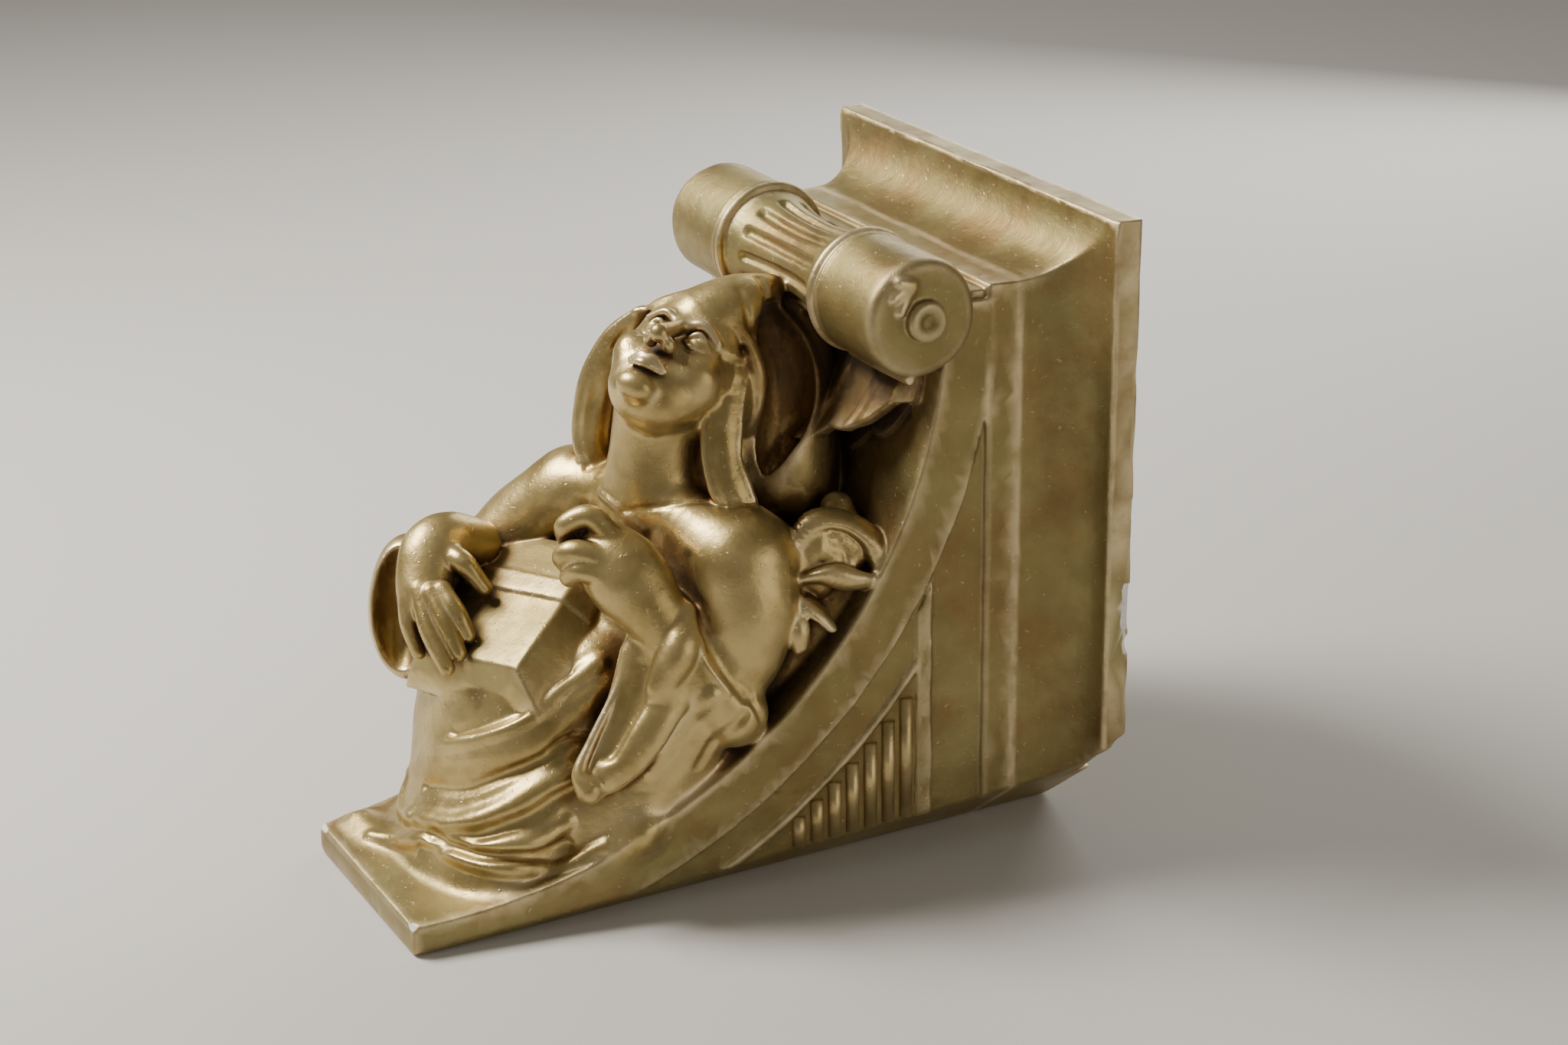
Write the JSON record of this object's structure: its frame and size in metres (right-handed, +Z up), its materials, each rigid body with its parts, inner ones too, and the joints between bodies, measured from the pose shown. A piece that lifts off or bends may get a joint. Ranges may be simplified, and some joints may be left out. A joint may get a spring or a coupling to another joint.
{
  "type": "plaster wall console",
  "caption": "Wall bracket with a coved shelf on a curled concave strip, reeded sides, a fluted scroll and a robed half-length figure leaning over a book.",
  "frame": {"origin": "centre of the flat back face that lies on the wall", "axes": "+Z up to the shelf, -Y out from the wall to the front, +X to the figure's left"},
  "size_m": [0.224, 0.278, 0.3],
  "materials": {
    "gilt_plaster": "plaster painted in dark old gold with brown patina, semi-matt"
  },
  "bodies": {
    "root": {"console": "gilt_plaster"}
  },
  "joints": []
}
